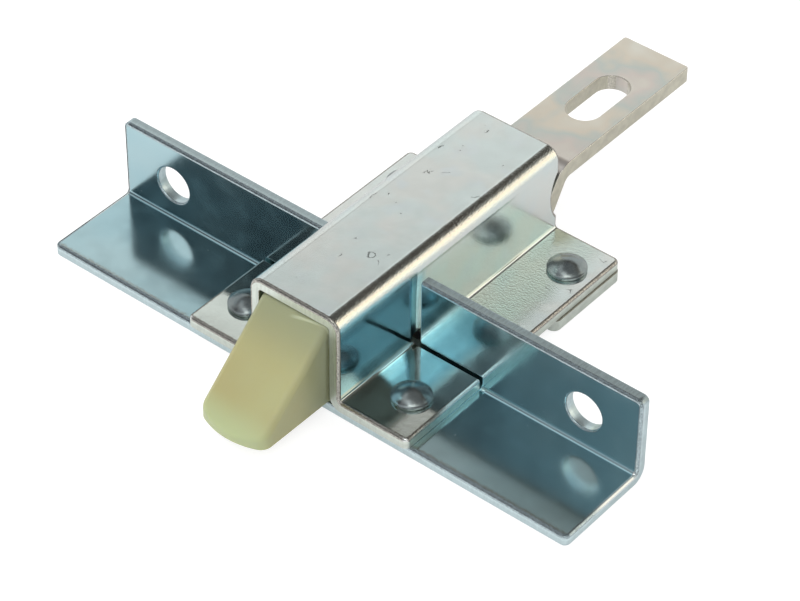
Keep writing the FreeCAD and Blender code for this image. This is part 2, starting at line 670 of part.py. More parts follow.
chord_count = round((open_turns + 2) * CHORDS)
path = Part.makePolygon([wire_point(i * (open_turns + 2) / chord_count) for i in range(chord_count + 1)])
start = path.Vertexes[0].Point
towards = path.Vertexes[1].Point - start
across = V(1, 0, 0).cross(towards).normalize()
upward = towards.cross(across).normalize()
wire_half = S["spring_wire"].value / 2
rim = []
for i in range(WIRE_SIDES + 1):
    around = 2 * math.pi * i / WIRE_SIDES
    rim.append(start + across * (wire_half * math.cos(around)) + upward * (wire_half * math.sin(around)))
coil = path.makePipeShell([Part.makePolygon(rim)], True, False, 1)
keep = Part.makeCylinder(S["spring_outside"].value, free_span, V(0, bore_bottom.value, spring_axis.value), V(0, 1, 0))
spring = doc.addObject("Part::Feature", "ReturnSpring")
spring.Label = "return_spring"
spring.Shape = coil.common(keep)


# Checks and export

doc.recompute()
for thing in doc.Objects:
    if "Invalid" in thing.State or "Error" in thing.State:
        raise RuntimeError("%s failed: %s" % (thing.Name, thing.State))

os.makedirs("parts", exist_ok=True)
pieces = [angle, housing, plate, bolt, bar, spring] + rivets
for body in pieces:
    shape = body.Shape
    if shape.isNull() or not shape.isValid():
        raise RuntimeError("%s has no valid shape" % body.Label)
    if len(shape.Solids) != 1:
        raise RuntimeError("%s is %d solids" % (body.Label, len(shape.Solids)))
    shape.exportStep("parts/%s.step" % body.Label)
    print(body.Label, round(shape.Volume, 1), shape.BoundBox)
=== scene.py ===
import math

import bmesh
import bpy
from mathutils import Matrix, Vector


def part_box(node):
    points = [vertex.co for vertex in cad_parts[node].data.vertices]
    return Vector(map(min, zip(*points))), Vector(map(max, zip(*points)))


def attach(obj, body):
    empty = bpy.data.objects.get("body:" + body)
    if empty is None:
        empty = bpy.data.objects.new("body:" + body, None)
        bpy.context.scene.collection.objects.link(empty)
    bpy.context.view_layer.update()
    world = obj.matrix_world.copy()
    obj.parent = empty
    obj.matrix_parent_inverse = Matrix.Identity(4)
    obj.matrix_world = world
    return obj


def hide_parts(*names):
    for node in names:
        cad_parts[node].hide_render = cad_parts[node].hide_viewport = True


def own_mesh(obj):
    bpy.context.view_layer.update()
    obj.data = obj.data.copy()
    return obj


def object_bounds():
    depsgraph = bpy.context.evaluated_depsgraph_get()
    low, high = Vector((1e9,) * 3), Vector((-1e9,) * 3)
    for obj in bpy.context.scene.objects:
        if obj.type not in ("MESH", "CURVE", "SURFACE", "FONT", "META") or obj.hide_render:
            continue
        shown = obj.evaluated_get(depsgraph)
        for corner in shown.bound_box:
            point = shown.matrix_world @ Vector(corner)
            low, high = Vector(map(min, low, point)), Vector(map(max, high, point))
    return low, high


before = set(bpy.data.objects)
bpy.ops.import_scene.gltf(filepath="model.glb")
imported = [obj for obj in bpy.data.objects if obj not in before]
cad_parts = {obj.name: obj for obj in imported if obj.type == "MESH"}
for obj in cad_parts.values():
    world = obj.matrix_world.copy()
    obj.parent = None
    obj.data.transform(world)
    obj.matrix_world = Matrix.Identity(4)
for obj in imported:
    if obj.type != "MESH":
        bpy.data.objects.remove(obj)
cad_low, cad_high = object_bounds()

# Spring latch for a baggage door: folded zinc-plated sheet, a nylon bolt and a slotted steel bar.
# Everything is in metres, in the frame of the model. X runs along the angle, +Y points to the bar.

MM = 0.001

# Levels and stations of the folded sheets
SHEET = 3.0 * MM
HOUSING_LOW, HOUSING_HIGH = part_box("housing")
PLATE_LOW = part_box("base_plate")[0]
SPRING_LOW, SPRING_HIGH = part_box("return_spring")
UPRIGHT_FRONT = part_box("mounting_angle")[1].y - SHEET
ANGLE_BEND = 1.0 * MM
WALL_OUTSIDE = 13.6 * MM
TOP_BEND = 0.8 * MM
FOOT_BEND = 0.8 * MM
FOOT_TOP = HOUSING_LOW.z + SHEET
BOSS = 1.8 * MM
LUG_BACK = PLATE_LOW.y + BOSS + SHEET
# Rear edges of the tabs, in the model and here, and front edges of the flanges
TABS_CUT, TABS_END, FLANGES_START = 25.4 * MM, 26.0 * MM, 31.2 * MM

# Merging and rounding. The shares say how squarely a face looks across the sheet or, in a bend, along
# the bend: that is what tells faces, cut edges and roundings from one another.
MERGE = 0.002 * MM
FLAT_ANGLE = math.radians(0.4)
SHARP_ANGLE = math.radians(35)
CUT_SHARE, FACE_SHARE, BEND_CUT_SHARE = 0.3, 0.95, 0.7


class Value:
    """A socket of a node tree. Arithmetic on it adds Math nodes to that tree."""

    def __init__(self, nodes, socket):
        self.nodes = nodes
        self.socket = socket

    def other(self, name):
        """Another output of the same node."""
        return Value(self.nodes, self.socket.node.outputs[name])

    def _math(self, operation, first, second=0.0):
        return self.nodes.node("ShaderNodeMath", {"operation": operation}, {0: first, 1: second})

    def __add__(self, value):
        return self._math("ADD", self, value)

    def __sub__(self, value):
        return self._math("SUBTRACT", self, value)

    def __mul__(self, value):
        return self._math("MULTIPLY", self, value)

    def __truediv__(self, value):
        return self._math("DIVIDE", self, value)

    def __pow__(self, value):
        return self._math("POWER", self, value)

    def __neg__(self):
        return self._math("MULTIPLY", self, -1.0)

    def __abs__(self):
        return self._math("ABSOLUTE", self)

    def __rsub__(self, value):
        return self._math("SUBTRACT", value, self)

    def __rtruediv__(self, value):
        return self._math("DIVIDE", value, self)

    __radd__ = __add__
    __rmul__ = __mul__

    def sine(self):
        return self._math("SINE", self)

    def cosine(self):
        return self._math("COSINE", self)

    def least(self, value):
        return self._math("MINIMUM", self, value)

    def most(self, value):
        return self._math("MAXIMUM", self, value)


class Nodes:
    """A node tree, emptied, with one method that makes any node."""

    def __init__(self, tree):
        self.tree = tree
        tree.nodes.clear()

    def node(self, kind, settings=None, inputs=None, out=0):
        """Settings are set first, then the sockets get their values or links."""
        made = self.tree.nodes.new(kind)
        for name, value in (settings or {}).items():
            if name == "stops":
                self._set_stops(made.color_ramp, value)
            else:
                setattr(made, name, value)
        for key, value in (inputs or {}).items():
            if isinstance(value, Value):
                self.tree.links.new(value.socket, made.inputs[key])
            else:
                made.inputs[key].default_value = value
        return Value(self, made.outputs[out]) if len(made.outputs) else None

    @staticmethod
    def _set_stops(ramp, stops):
        while len(ramp.elements) > 1:
            ramp.elements.remove(ramp.elements[-1])
        ramp.elements[0].position = stops[0][0]
        ramp.elements[0].color = (*stops[0][1], 1)
        for place, colour in stops[1:]:
            ramp.elements.new(place).color = (*colour, 1)

    def blend(self, factor, first, second):
        """Mixes two colours."""
        first = (*first, 1) if isinstance(first, tuple) and len(first) == 3 else first
        second = (*second, 1) if isinstance(second, tuple) and len(second) == 3 else second
        return self.node("ShaderNodeMix", {"data_type": "RGBA"}, {0: factor, 6: first, 7: second}, out=2)

    def step(self, value, low, high):
        """0 below low, 1 above high, smooth between. It falls if low is the larger."""
        return self.node("ShaderNodeMapRange", {"interpolation_type": "SMOOTHSTEP"},
                         {"Value": value, "From Min": low, "From Max": high})

    def between(self, value, rise, risen, fall, fallen):
        """0 outside the outer two of the four places, 1 between the inner two, smooth in between."""
        return self.step(value, rise, risen) * self.step(value, fallen, fall)

    def vector(self, operation, first, second=None, scale=None):
        inputs = {0: first}
        if second is not None:
            inputs[1] = second
        if scale is not None:
            inputs["Scale"] = scale
        return self.node("ShaderNodeVectorMath", {"operation": operation}, inputs)

    def split(self, vector):
        """The first of a vector's three numbers. The other two are its outputs Y and Z."""
        return self.node("ShaderNodeSeparateXYZ", inputs={0: vector})


class Finish(Nodes):
    """A surface finish. Places on the piece are in millimetres."""

    def __init__(self, name):
        self.material = bpy.data.materials.new(name)
        self.material.use_nodes = True
        super().__init__(self.material.node_tree)
        self.place = self.vector("SCALE", self.node("ShaderNodeTexCoord", out="Object"), scale=1 / MM)
        self.x = self.split(self.place)
        self.y, self.z = self.x.other("Y"), self.x.other("Z")

    def noise(self, size, detail=2.0, rough=0.5, stretch=(1, 1, 1), shift=0.0, warp=0.0):
        """Noise of about 0 to 1 whose spots are so many millimetres across."""
        scaled = self.vector("MULTIPLY", self.place, tuple(1 / (size * s) for s in stretch))
        moved = self.vector("ADD", scaled, (shift, shift * 1.7, shift * 0.6))
        return self.node("ShaderNodeTexNoise", {}, {
            "Vector": moved, "Scale": 1.0, "Detail": detail, "Roughness": rough, "Distortion": warp})

    def cells(self, place, spacing):
        """Distance to the middle of a cell, in cells, and a random number of the cell."""
        cell = self.node("ShaderNodeTexVoronoi", {}, {"Vector": place, "Scale": 1 / spacing})
        return cell, self.node("ShaderNodeSeparateColor", inputs={0: cell.other("Color")})

    def wave(self, place, scale):
        """Slow noise as a vector of 0 to 1."""
        return self.node("ShaderNodeTexNoise", {}, {"Vector": place, "Scale": scale, "Detail": 1.0},
                         out="Color")

    def specks(self, spacing, size, share, shift=0.0):
        """Small round spots, about one in each cell of the spacing, of which only a share is kept."""
        moved = self.vector("ADD", self.place, (shift, shift * 0.7, shift * 1.3))
        cell, chance = self.cells(moved, spacing)
        return self.step(cell * spacing, size, size * 0.4) * self.step(chance, share, share * 0.9)

    def hairlines(self, spacing, length, width, share, shift=0.0, bend=0.0):
        """Short scratches, turned at random, about one in each cell of the spacing, seen from above."""
        flat = self.vector("MULTIPLY", self.place, (1, 1, 0.2))
        moved = self.vector("ADD", flat, (shift, shift * 1.3, 0))
        curved = self.vector("ADD", moved, self.vector("SCALE", self.wave(moved, 0.16), scale=bend))
        cell, chance = self.cells(curved, spacing)
        in_cells = self.vector("SCALE", curved, scale=1 / spacing)
        away = self.vector("SUBTRACT", in_cells, cell.other("Position"))
        turned = self.split(self.node("ShaderNodeVectorRotate", {"rotation_type": "Z_AXIS"}, {
            "Vector": away, "Angle": chance.other("Green") * math.tau}))
        along = self.step(abs(turned), length / spacing / 2, length / spacing / 4)
        across = self.step(abs(turned.other("Y")), width / spacing / 2, width / spacing / 5)
        return along * across * self.step(chance, share, share * 0.95)

    def strokes(self, marks):
        """Single scratches seen from above: middle, turn in degrees, length and width of each."""
        shake = self.vector("SUBTRACT", self.wave(self.place, 1.3), (0.5, 0.5, 0.5))
        x = self.split(self.vector("ADD", self.place, self.vector("SCALE", shake, scale=1.1)))
        y = x.other("Y")
        total = 0.0
        for middle_x, middle_y, turn, length, width in marks:
            cosine, sine = math.cos(math.radians(turn)), math.sin(math.radians(turn))
            along = (x - middle_x) * cosine + (y - middle_y) * sine
            across = (y - middle_y) * cosine - (x - middle_x) * sine
            one = self.step(abs(along), length / 2 + 0.1, length / 2 - 0.05)
            total = one * self.step(abs(across), width * 0.8, width * 0.3) + total
        return total.least(1.0)

    def bump(self, height, depth, normal=None):
        """Relief of so many millimetres at height 1."""
        inputs = {"Height": height, "Distance": depth * MM, "Strength": 1.0}
        if normal is not None:
            inputs["Normal"] = normal
        return self.node("ShaderNodeBump", {}, inputs)

    def done(self, **sockets):
        """Closes the finish with a Principled surface. Underscores stand for spaces."""
        inputs = {name.replace("_", " "): value for name, value in sockets.items()}
        surface = self.node("ShaderNodeBsdfPrincipled", {}, inputs)
        self.node("ShaderNodeOutputMaterial", {}, {"Surface": surface})
        return self.material


def shade(tint, share):
    """A darker colour."""
    return tuple(c * share for c in tint)


# Finishes. Places, sizes and depths in them are millimetres.

def blue_zinc():
    """Bright blue plating of the angle, nearly a mirror."""
    f = Finish("blue_zinc")
    cloud = f.noise(26, detail=3)
    film = f.noise(7, detail=2, shift=3.1)
    colour = f.blend(f.step(cloud, 0.35, 0.65), (0.45, 0.66, 0.72), (0.50, 0.69, 0.735))
    dust = f.specks(2.6, 0.13, 0.30, shift=5.0)
    colour = f.blend(dust * 0.6, colour, (0.80, 0.86, 0.88))
    # Brown, ragged border along the front of the foot
    ragged = (f.noise(0.7, detail=3, rough=0.6) - 0.5) * 1.8
    border = f.step(f.y + ragged, 1.9, 0.7) * f.step(f.z, 3.6, 3.2)
    colour = f.blend(border * 0.6, colour, (0.30, 0.25, 0.19))
    grain = f.noise(0.34, detail=3, rough=0.7)
    # Smoother upright beside the housing
    corner = f.between(abs(f.x), 12.0, 13.5, 36.0, 42.0) * f.step(f.y, 24.0, 26.0)
    rough = 0.155 + f.step(film, 0.4, 0.7) * 0.04 - corner * 0.045 + dust * 0.15
    relief = f.bump(grain, 0.0005, f.bump(f.noise(11, detail=1), 0.04))
    return f.done(Base_Color=colour, Metallic=1.0, Roughness=rough, Normal=relief)


# Scratches and nicks of the housing: middle, turn in degrees, length and width
HOUSING_MARKS = (
    (6.6, 21.4, -60, 1.7, 0.16), (6.8, 24.9, 70, 0.6, 0.26), (-3.1, 24.7, 0, 0.2, 0.30),
    (-5.0, 25.7, 0, 0.1, 0.22), (-1.7, 17.6, 88, 1.2, 0.24), (-4.4, 5.1, 0, 0.1, 0.24),
    (-5.5, 54.8, -17, 1.3, 0.22), (-5.9, 54.3, 84, 1.2, 0.20), (-5.1, 55.2, 60, 1.1, 0.18),
    (-2.0, 57.3, 47, 2.2, 0.17), (-9.2, 64.3, 78, 1.8, 0.28), (-4.3, 76.1, 83, 1.8, 0.20),
    (-6.2, 77.8, 0, 0.1, 0.26), (-4.6, 66.1, 0, 0.1, 0.24), (9.2, 54.6, 45, 1.8, 0.20),
    (-10.1, 39.4, 85, 2.6, 0.22), (-7.5, 42.3, 0, 0.2, 0.24), (-4.0, 40.9, 0, 0.1, 0.22),
    (-0.7, 38.6, -30, 0.7, 0.22), (6.9, 68.2, 0, 0.3, 0.34), (5.7, 51.1, 0, 0.1, 0.22),
    (26.3, 62.0, -5, 1.3, 0.26), (30.6, 65.2, 20, 1.6, 0.20), (31.1, 64.8, -50, 1.4, 0.20),
    (30.2, 78.8, -30, 1.7, 0.18), (31.0, 79.0, 80, 1.2, 0.18),
)
# Round scratch on the housing's top: middle and radius
HOUSING_CURL = (3.7, 22.4, 0.95)
CLEAR_ROUGHNESS = 0.23


def clear_zinc(name, tints, marks=(), curl=None):
    """Dull clear plating with pits, hairline scratches and a slow change of tint."""
    f = Finish(name)
    cloud = f.noise(14, detail=3, shift=2.0)
    colour = f.blend(f.step(cloud, 0.38, 0.62), tints[0], tints[1])
    colour = f.blend(f.step(f.noise(6, detail=3, shift=8.0), 0.52, 0.75) * 0.6, colour, tints[2])
    # Painted reflection of the blue upright on the walls in front of it, darker near their top, painted
    # grey shade on the tabs, and a painted pale reflection on their rear part
    side = abs(f.x)
    wall = f.step(side, 12.9, 13.4) * f.step(f.z, 28.0, 24.0)
    film = wall * f.step(f.y, 31.5, 27.5)
    painted_pale_strip = f.step(side, 13.4, 14.2) * f.step(f.z, 7.5, 6.6) * f.between(f.y, 9.0, 20.0, 26.0, 27.0)
    upper = f.step(f.z, 6.8, 8.0)
    colour = f.blend(film * upper * 0.8, colour, (0.42, 0.76, 0.89))
    colour = f.blend(film * f.step(f.z, 22.0, 25.0) * 0.6, colour, (0.25, 0.42, 0.50))
    # Speckled foot of those walls, darkened by painted shade
    speckled = f.step(f.noise(0.5, detail=3, rough=0.7, shift=6.0), 0.40, 0.60)
    foot = film * upper * f.step(f.z, 12.5, 9.5) * f.step(f.y, 4.0, 8.0)
    colour = f.blend(foot * (0.25 + speckled * 0.35), colour, (0.16, 0.22, 0.21))
    # Painted grey shade on the tabs, and painted pale reflection on their rear part beside the walls
    colour = f.blend(film * (1.0 - upper) * 0.8, colour, (0.66, 0.72, 0.67))
    colour = f.blend(painted_pale_strip * 0.6, colour, (0.80, 0.96, 0.97))
    # Flange beside the rear wall: greener and finely grained
    flange = f.between(side, 13.4, 15.0, 24.0, 31.0) * f.step(f.y, 30.0, 32.0) * f.step(f.z, 8.5, 7.0)
    colour = f.blend(flange * 0.5, colour, (0.72, 0.86, 0.77))
    # Dark, ragged borders where the punch went in: the mouth, and the sides and fronts of the feet
    ragged = (f.noise(0.6, detail=3, rough=0.65, shift=4.0) - 0.5) * 1.5
    mouth = f.step(f.y + ragged, -0.1, -0.7) * f.step(f.z, 26.0, 28.0)
    margin = f.step(side + ragged * 0.7, 32.9, 33.4) * f.step(f.z, 8.5, 7.0)
    fronts = f.step(f.y + ragged, 0.1, -0.5) * f.step(side, 13.6, 15.0)
    colour = f.blend((mouth + margin + fronts).least(1.0) * 0.75, colour, (0.24, 0.215, 0.18))
    pits = f.specks(6.0, 0.24, 0.30, shift=1.0) + f.specks(2.2, 0.10, 0.22, shift=7.0)
    scratch = f.hairlines(11.0, 2.4, 0.13, 0.30, shift=4.0, bend=1.2)
    dark = pits * 0.7 + scratch * 0.6
    if marks:
        dark = dark + f.strokes(marks) * 0.75
        across, along = f.x - curl[0], f.y - curl[1]
        ring = (across * across + along * along) ** 0.5 + (f.noise(0.9, detail=3) - 0.5) * 1.3
        dark = dark + f.step(abs(ring - curl[2]), 0.20, 0.06) * f.step(f.z, 28.0, 29.0) * 0.8
    dark = dark.least(1.0)
    colour = f.blend(dark * 0.85, colour, (0.07, 0.075, 0.065))
    # Upper bend: on the right a painted dark reflection with ragged borders and a painted warm highlight
    # beside it
    place = f.x + (f.noise(0.42, detail=3, rough=0.6, stretch=(1, 1.6, 1), shift=9.0) - 0.5) * 0.9
    painted_dark_reflection = f.between(place, 9.9, 10.3, 11.9, 12.3) * f.step(f.z, 29.0, 29.3)
    colour = f.blend(painted_dark_reflection * 0.62, colour, (0.22, 0.20, 0.165))
    painted_warm_highlight = f.between(place, 11.8, 12.2, 12.6, 13.2) * f.step(f.z, 26.5, 27.5)
    colour = f.blend(painted_warm_highlight * 0.6, colour, (0.97, 0.87, 0.70))
    bend = f.step(side, 9.6, 10.6) * f.step(f.z, 26.0, 27.0)
    roughness = CLEAR_ROUGHNESS + (f.noise(4, detail=2, shift=6.0) - 0.5) * 0.10 + dark * 0.2
    roughness = roughness - bend * 0.12 - wall * 0.06 - (film + painted_pale_strip).least(1.0) * 0.075
    # In front of the upright the walls seem to lean, most near the fold
    low, lowest = (27.0 - f.z).most(0.0), (14.0 - f.z).most(0.0)
    lean = (low * 0.05 + lowest * lowest * 0.005) * f.step(f.y, 29.5, 27.0)
    drawn = f.noise(0.30, detail=2, rough=0.55, stretch=(1, 2.2, 1), shift=3.0)
    grain = f.noise(0.30, detail=3, rough=0.6)
    rolled = f.noise(1.4, detail=2, shift=1.5)
    relief = f.bump(drawn * bend, 0.075, f.bump(lean, 1.0))
    relief = f.bump(grain * 0.5 + rolled * 0.5, 0.009, relief)
    relief = f.bump(f.noise(0.42, detail=2, rough=0.6, shift=5.0) * flange, 0.045, relief)
    return f.done(Base_Color=colour, Metallic=1.0, Roughness=roughness, Normal=relief)


def yellow_zinc():
    """Pale yellow plating of the bar with blue and pink clouds."""
    f = Finish("yellow_zinc")
    film = f.noise(19, detail=3, rough=0.45, warp=0.2)
    colour = f.node("ShaderNodeValToRGB", {"stops": [
        (0.26, (0.93, 0.90, 0.80)), (0.40, (0.88, 0.81, 0.69)), (0.50, (0.72, 0.76, 0.71)),
        (0.60, (0.84, 0.77, 0.71)), (0.74, (0.95, 0.93, 0.82))]}, {"Fac": film})
    pits = f.specks(4.5, 0.20, 0.35, shift=2.0)
    colour = f.blend(pits * 0.6, colour, (0.14, 0.12, 0.09))
    grain = f.noise(0.30, detail=3, rough=0.6)
    roughness = 0.32 + (f.noise(5, detail=2, shift=6.0) - 0.5) * 0.12
    return f.done(Base_Color=colour, Metallic=1.0, Roughness=roughness, Normal=f.bump(grain, 0.009))


def sheared_edge(name, tint, painted_shade_above=None):
    """Cut edge of plated sheet: fine lines across the thickness and a rougher torn part."""
    f = Finish(name)
    lines = f.noise(0.28, detail=3, rough=0.6, stretch=(1, 9, 9))
    through = f.node("ShaderNodeAttribute", {"attribute_name": "through"}, out="Fac")
    torn = f.step(through + (f.noise(2.0, detail=3) - 0.5) * 0.3, 0.45, 0.6)
    colour = f.blend(f.step(lines, 0.3, 0.7), shade(tint, 0.84), tint)
    colour = f.blend(torn * 0.30, colour, shade(tint, 0.7))
    if painted_shade_above is not None:
        # Darker upper edge, most on the right: painted shade
        painted_shade = f.step(f.z, painted_shade_above - 1.0, painted_shade_above) * (0.25 + f.step(f.x, 0.0, 15.0) * 0.60)
        painted_shade_colour = f.blend(f.step(lines, 0.35, 0.65), shade(tint, 0.45), shade(tint, 0.65))
        colour = f.blend(painted_shade, colour, painted_shade_colour)
    return f.done(Base_Color=colour, Metallic=1.0, Roughness=0.30 + torn * 0.12,
                  Normal=f.bump(lines, 0.012))


def rolled_edge(name, tint, speck):
    """Rounded edge of plated sheet, speckled by the punch."""
    f = Finish(name)
    speckle = f.noise(0.30, detail=3, rough=0.7, shift=2.0)
    colour = f.blend(f.step(speckle, 0.42, 0.60), shade(tint, speck), tint)
    # Painted highlights: the tabs' outer edges, most at the rear, and their front corners
    side = abs(f.x)
    painted_highlights = f.between(f.y, 9.0, 15.0, 26.0, 27.0) * f.step(side, 32.0, 33.0) * f.step(f.z, 8.0, 7.0)
    corner = f.step(f.y, -0.2, -0.6) * f.step(abs(side - 33.6), 1.3, 0.5)
    colour = f.blend((painted_highlights + corner).least(1.0) * 0.8, colour, (0.93, 0.96, 0.94))
    return f.done(Base_Color=colour, Metallic=1.0, Roughness=0.22, Normal=f.bump(speckle, 0.035))


def rivet_steel():
    """Polished head with faint set marks."""
    f = Finish("rivet_steel")
    film = f.noise(3.0, detail=3, shift=2.0)
    colour = f.blend(f.step(film, 0.4, 0.65), (0.265, 0.305, 0.31), (0.33, 0.37, 0.365))
    marks = f.hairlines(2.2, 1.2, 0.05, 0.5, shift=9.0)
    colour = f.blend(marks * 0.4, colour, (0.12, 0.11, 0.10))
    roughness = 0.24 + (film - 0.5) * 0.12
    relief = f.bump(f.noise(0.25, detail=2), 0.004, f.bump(f.noise(2.4, detail=1), 0.03))
    return f.done(Base_Color=colour, Metallic=1.0, Roughness=roughness, Normal=relief)


def spring_wire():
    """Drawn wire."""
    f = Finish("spring_wire")
    streak = f.noise(0.25, detail=2, stretch=(1, 6, 1))
    colour = f.blend(streak, (0.34, 0.33, 0.31), (0.48, 0.47, 0.45))
    return f.done(Base_Color=colour, Metallic=1.0, Roughness=0.32, Normal=f.bump(streak, 0.006))


def moulded_nylon():
    """Ivory-green nylon, slightly translucent, with a few dents and dark specks."""
    f = Finish("moulded_nylon")
    cloud = f.noise(24, detail=2, shift=3.0)
    colour = f.blend(f.step(cloud, 0.30, 0.75), (0.375, 0.343, 0.168), (0.40, 0.40, 0.208))
    # Lighter and greener towards the nose, and darker towards the mouth: painted shade where the housing
    # shades the bolt
    colour = f.blend(f.step(f.y, -19.0, -25.5), colour, (0.41, 0.46, 0.255))
    colour = f.blend(f.step(f.y, -13.0, -1.0) * 0.9, colour, (0.265, 0.285, 0.175))
    # Crease across the ramp in front of the mouth: a painted light rim at the edge of the housing's
    # shade, and a shallow dent behind it
    crease = f.y - f.x * 0.15 + 2.1
    rim = f.step(abs(crease), 0.45, 0.1) * f.step(f.x, -1.0, 2.5) * f.step(f.z, 20.0, 22.0)
    colour = f.blend(rim * 0.6, colour, (0.50, 0.54, 0.38))
    dirt = f.hairlines(11.0, 1.8, 0.18, 0.30, shift=2.5, bend=1.0) + f.specks(6.0, 0.2, 0.3, shift=4.0)
    colour = f.blend(dirt.least(1.0) * 0.7, colour, (0.14, 0.13, 0.07))
    dent = f.step(crease, -0.5, 0.2) * f.step(f.x, -1.0, 2.5)
    relief = f.bump(f.noise(1.6, detail=3), 0.05, f.bump(dent, 0.16))
    roughness = 0.36 + (f.noise(5, detail=2) - 0.5) * 0.12
    return f.done(Base_Color=colour, Roughness=roughness, Normal=relief,
                  Subsurface_Weight=0.35, Subsurface_Radius=(1.0, 0.9, 0.5), Subsurface_Scale=0.003,
                  IOR=1.5)


# Copies of the folded sheets, with their cut edges rounded

def angle_depth(p):
    """0 on the inner face of the L, 1 on its outer face."""
    bend_y, bend_z = UPRIGHT_FRONT - ANGLE_BEND, SHEET + ANGLE_BEND
    if p.y > bend_y and p.z < bend_z:
        return (math.hypot(p.y - bend_y, p.z - bend_z) - ANGLE_BEND) / SHEET
    if p.z >= bend_z:
        return (p.y - UPRIGHT_FRONT) / SHEET
    return (SHEET - p.z) / SHEET


def angle_sheet_normal(p):
    """Across the sheet, or None in the bend."""
    if p.y > UPRIGHT_FRONT - ANGLE_BEND:
        return Vector((0, 1, 0)) if p.z > SHEET + ANGLE_BEND else None
    return Vector((0, 0, 1))


def housing_depth(p):
    """0 on the outer face of the channel and the upper face of its feet, 1 on the other."""
    outside = TOP_BEND + SHEET
    x = abs(p.x)
    bend_x, bend_z = WALL_OUTSIDE - outside, HOUSING_HIGH.z - outside
    foot_x, foot_z = WALL_OUTSIDE + FOOT_BEND, FOOT_TOP + FOOT_BEND
    if x > bend_x and p.z > bend_z:
        return (outside - math.hypot(x - bend_x, p.z - bend_z)) / SHEET
    if p.z > bend_z:
        return (HOUSING_HIGH.z - p.z) / SHEET
    if x < foot_x and p.z < foot_z:
        return (math.hypot(x - foot_x, p.z - foot_z) - FOOT_BEND) / SHEET
    if x < foot_x:
        return (WALL_OUTSIDE - x) / SHEET
    return (FOOT_TOP - p.z) / SHEET


def housing_sheet_normal(p):
    """Across the sheet, or None in the upper bends."""
    outside = TOP_BEND + SHEET
    x = abs(p.x)
    if p.z > HOUSING_HIGH.z - outside:
        return Vector((0, 0, 1)) if x < WALL_OUTSIDE - outside else None
    if x < WALL_OUTSIDE + FOOT_BEND:
        return Vector((1, 0, 0)) if p.z > FOOT_TOP + FOOT_BEND else None
    return Vector((0, 0, 1))


def plate_depth(p):
    """0 on the rear face of the lug and the upper face of the plate, 1 on the other."""
    if p.y < LUG_BACK:
        return (LUG_BACK - p.y) / SHEET
    return (PLATE_LOW.z + SHEET - p.z) / SHEET


def plate_sheet_normal(p):
    if p.z > PLATE_LOW.z + SHEET and p.y < LUG_BACK:
        return Vector((0, 1, 0))
    return Vector((0, 0, 1))


def no_depth(p):
    """For the bar and the bolt, whose edges are all rounded alike."""
    return 0.0


def no_sheet_normal(p):
    """For the bar and the bolt, whose faces hold the X direction. Only cut faces look along X."""
    return None


def finish_slot(face, sheet_normal, bend_axis):
    """0 on the two faces of the sheet, 1 on its cut edges and 2 on a rounding between them."""
    normal = sheet_normal(face.calc_center_median())
    if normal is None:
        across = abs(face.normal.dot(bend_axis))
        return 1 if across > BEND_CUT_SHARE else 2 if across > CUT_SHARE else 0
    along = abs(face.normal.dot(normal))
    return 1 if along < CUT_SHARE else 2 if along < FACE_SHARE else 0


def beside_upright(p):
    """The rear edges of the tabs and the notch in the wall, where the upright stands."""
    near, tab_roll = 0.5 * MM, 1.6 * MM
    if abs(p.x) < WALL_OUTSIDE + FOOT_BEND * 0.5:
        return TABS_END - near < p.y < FLANGES_START + near
    return TABS_END - tab_roll < p.y < TABS_END + near


def nowhere(p):
    return False


def nearer_upright(p):
    """The rear edges of the tabs are cut nearer to the upright, and with them the front of the notch."""
    return Vector((p.x, TABS_END, p.z)) if TABS_CUT - MERGE < p.y < TABS_END else p


def untrimmed(p):
    return p


def sheet_copy(node, name, depth, sheet_normal, bend_axis, roll, burr, finishes,
               held=nowhere, trim=untrimmed, clamp=False):
    """Copy of a node: wide rounding where the punch went in, fine on the far side and where held.

    Finishes are those of the faces, of the cut edges and, if there is a third, of the roundings.
    """
    mesh = bpy.data.meshes.new(name)
    bm = bmesh.new()
    bm.from_mesh(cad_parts[node].data)
    bmesh.ops.remove_doubles(bm, verts=bm.verts, dist=MERGE)
    bmesh.ops.dissolve_limit(bm, angle_limit=FLAT_ANGLE, verts=bm.verts, edges=bm.edges)
    bm.normal_update()
    weight = bm.edges.layers.float.new("bevel_weight_edge")
    through = bm.verts.layers.float.new("through")
    for vert in bm.verts:
        vert.co = trim(vert.co)
        vert[through] = min(1.0, max(0.0, depth(vert.co)))
    for face in bm.faces:
        face.smooth = True
        face.material_index = min(len(finishes) - 1, finish_slot(face, sheet_normal, bend_axis))
    for edge in bm.edges:
        edge.smooth = True
        if edge.is_manifold and edge.calc_face_angle() > SHARP_ANGLE:
            side = (edge.verts[0][through] + edge.verts[1][through]) / 2
            fine = side >= 0.5 or all(held(v.co) for v in edge.verts)
            edge[weight] = burr / roll if fine else 1.0
    bm.to_mesh(mesh)
    bm.free()
    for layer in [a.name for a in mesh.attributes if a.name == "custom_normal"]:
        mesh.attributes.remove(mesh.attributes[layer])
    for material in finishes:
        mesh.materials.append(material)
    piece = bpy.data.objects.new(name, mesh)
    bpy.context.scene.collection.objects.link(piece)
    rounding = piece.modifiers.new("rounding", "BEVEL")
    rounding.limit_method = "WEIGHT"
    rounding.width = roll
    rounding.segments = 4
    rounding.use_clamp_overlap = clamp
    rounding.loop_slide = False
    rounding.material = 2 if len(finishes) > 2 else -1
    shading = piece.modifiers.new("shading", "WEIGHTED_NORMAL")
    shading.weight = 60
    return baked(piece)


def baked(piece):
    """Applies the piece's modifiers."""
    evaluated = piece.evaluated_get(bpy.context.evaluated_depsgraph_get())
    mesh = bpy.data.meshes.new_from_object(evaluated)
    piece.modifiers.clear()
    piece.data = mesh
    mesh.name = piece.name
    return piece


# Rivets and spring, made by geometry nodes

